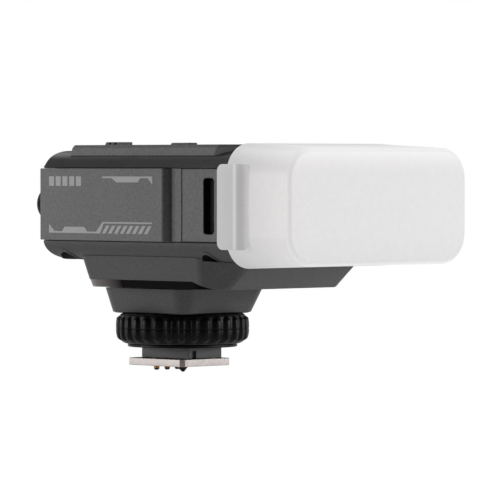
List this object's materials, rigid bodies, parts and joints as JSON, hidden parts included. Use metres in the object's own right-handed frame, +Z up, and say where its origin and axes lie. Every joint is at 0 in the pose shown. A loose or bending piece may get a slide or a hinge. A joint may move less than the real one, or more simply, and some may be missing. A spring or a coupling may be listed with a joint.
{
  "type": "camera flash",
  "caption": "Compact on-camera flash: casing with raised side plates and top deck, saddle, knurled lock ring, hot-shoe foot and a slip-on milky diffuser over the head.",
  "frame": {"origin": "centre of the foot's centre contact, in the plane of the foot plate's underside", "axes": "+Z up out of the camera's shoe, the light shines towards -Y, the display faces +Y, and -X is the side with the dial"},
  "size_m": [0.069, 0.1009, 0.0617],
  "materials": {
    "side_grey_plastic": "fine spark-eroded grain, mid grey",
    "cover_grey_plastic": "fine spark-eroded grain, dark grey",
    "gloss_black_plastic": "smooth, semi-gloss black",
    "ring_black_plastic": "satin black",
    "shoe_block_plastic": "satin dark grey",
    "bright_metal": "bright, lightly brushed",
    "contact_gold": "gold plated",
    "dark_metal": "blackened",
    "diffuser_silicone": "milky, soft matte",
    "lens_clear": "clear, ribbed",
    "screen_gloss": "gloss black window",
    "board_green": "circuit board",
    "cell_wrap_blue": "shrink wrap",
    "capacitor_sleeve": "shrink sleeve"
  },
  "bodies": {
    "casing": {"foot_plate": "bright_metal", "foot_screw_1": "bright_metal", "foot_screw_2": "bright_metal", "foot_screw_3": "bright_metal", "foot_screw_4": "bright_metal", "shoe_block": "shoe_block_plastic", "threaded_stem": "gloss_black_plastic", "neck_collar": "cover_grey_plastic", "saddle_trim": "gloss_black_plastic", "saddle_shell": "cover_grey_plastic", "lower_cover": "cover_grey_plastic", "cover_screw_1": "dark_metal", "cover_screw_2": "dark_metal", "cover_screw_3": "dark_metal", "cover_screw_4": "dark_metal", "upper_cover": "cover_grey_plastic", "side_panel_right": "side_grey_plastic", "side_panel_left": "side_grey_plastic", "vent_panel_right": "side_grey_plastic", "vent_panel_left": "side_grey_plastic", "rear_panel": "cover_grey_plastic", "top_deck": "side_grey_plastic", "display_window": "screen_gloss", "display_module": "ring_black_plastic", "control_board": "board_green", "main_board": "board_green", "dial_encoder": "bright_metal", "battery_pack": "cell_wrap_blue", "flash_capacitor": "capacitor_sleeve", "step_up_transformer": "ring_black_plastic", "trigger_coil": "contact_gold", "radio_module": "bright_metal", "charging_socket": "bright_metal", "reflector": "bright_metal", "flash_tube": "lens_clear", "head_bezel": "ring_black_plastic", "front_lens": "lens_clear"},
    "clamp_washer": {"clamp_washer": "ring_black_plastic"},
    "lock_ring": {"lock_ring": "ring_black_plastic"},
    "lock_pin": {"lock_pin": "dark_metal"},
    "centre_contact": {"centre_contact": "contact_gold"},
    "data_contact_1": {"data_contact_1": "contact_gold"},
    "data_contact_2": {"data_contact_2": "contact_gold"},
    "data_contact_3": {"data_contact_3": "contact_gold"},
    "data_contact_4": {"data_contact_4": "contact_gold"},
    "power_switch": {"power_switch": "cover_grey_plastic"},
    "mode_switch": {"mode_switch": "cover_grey_plastic"},
    "control_dial": {"control_dial": "ring_black_plastic"},
    "dial_button": {"dial_button": "cover_grey_plastic"},
    "menu_key": {"menu_key": "ring_black_plastic"},
    "set_key": {"set_key": "ring_black_plastic"},
    "test_key": {"test_key": "ring_black_plastic"},
    "diffuser_cap": {"diffuser_cap": "diffuser_silicone"}
  },
  "joints": [
    {"name": "washer_press", "type": "slide", "parent": "casing", "child": "clamp_washer", "axis": [0, 0, -1], "range_m": [0, 0.0015]},
    {"name": "ring_turn", "type": "hinge", "parent": "clamp_washer", "child": "lock_ring", "pos_m": [0, 0, 0.01], "axis": [0, 0, -1], "range_deg": [0, 270]},
    {"name": "lock_pin_press", "type": "slide", "parent": "casing", "child": "lock_pin", "axis": [0, 0, 1], "range_m": [0, 0.0012], "stiffness_N_per_m": 300},
    {"name": "centre_contact_press", "type": "slide", "parent": "casing", "child": "centre_contact", "axis": [0, 0, 1], "range_m": [0, 0.0008], "stiffness_N_per_m": 300},
    {"name": "data_contact_1_press", "type": "slide", "parent": "casing", "child": "data_contact_1", "axis": [0, 0, 1], "range_m": [0, 0.0008], "stiffness_N_per_m": 200},
    {"name": "data_contact_2_press", "type": "slide", "parent": "casing", "child": "data_contact_2", "axis": [0, 0, 1], "range_m": [0, 0.0008], "stiffness_N_per_m": 200},
    {"name": "data_contact_3_press", "type": "slide", "parent": "casing", "child": "data_contact_3", "axis": [0, 0, 1], "range_m": [0, 0.0008], "stiffness_N_per_m": 200},
    {"name": "data_contact_4_press", "type": "slide", "parent": "casing", "child": "data_contact_4", "axis": [0, 0, 1], "range_m": [0, 0.0008], "stiffness_N_per_m": 200},
    {"name": "power_switch_slide", "type": "slide", "parent": "casing", "child": "power_switch", "axis": [0, -1, 0], "range_m": [0, 0.003]},
    {"name": "mode_switch_slide", "type": "slide", "parent": "casing", "child": "mode_switch", "axis": [0, -1, 0], "range_m": [0, 0.003]},
    {"name": "dial_turn", "type": "hinge", "parent": "casing", "child": "control_dial", "pos_m": [-0.0241, 0.0235, 0.0436], "axis": [0, 1, 0], "continuous": true},
    {"name": "dial_button_press", "type": "slide", "parent": "control_dial", "child": "dial_button", "axis": [0, -1, 0], "range_m": [0, 0.0005], "stiffness_N_per_m": 300},
    {"name": "menu_key_press", "type": "slide", "parent": "casing", "child": "menu_key", "axis": [0, -1, 0], "range_m": [0, 0.0005], "stiffness_N_per_m": 300},
    {"name": "set_key_press", "type": "slide", "parent": "casing", "child": "set_key", "axis": [0, -1, 0], "range_m": [0, 0.0005], "stiffness_N_per_m": 300},
    {"name": "test_key_press", "type": "slide", "parent": "casing", "child": "test_key", "axis": [0, -1, 0], "range_m": [0, 0.0005], "stiffness_N_per_m": 300},
    {"name": "diffuser_pull", "type": "slide", "parent": "casing", "child": "diffuser_cap", "axis": [0, -1, 0], "range_m": [0, 0.03]}
  ],
  "couplings": [
    {"joint": "washer_press", "follows": "ring_turn", "m_per_rad": 0.000318}
  ]
}
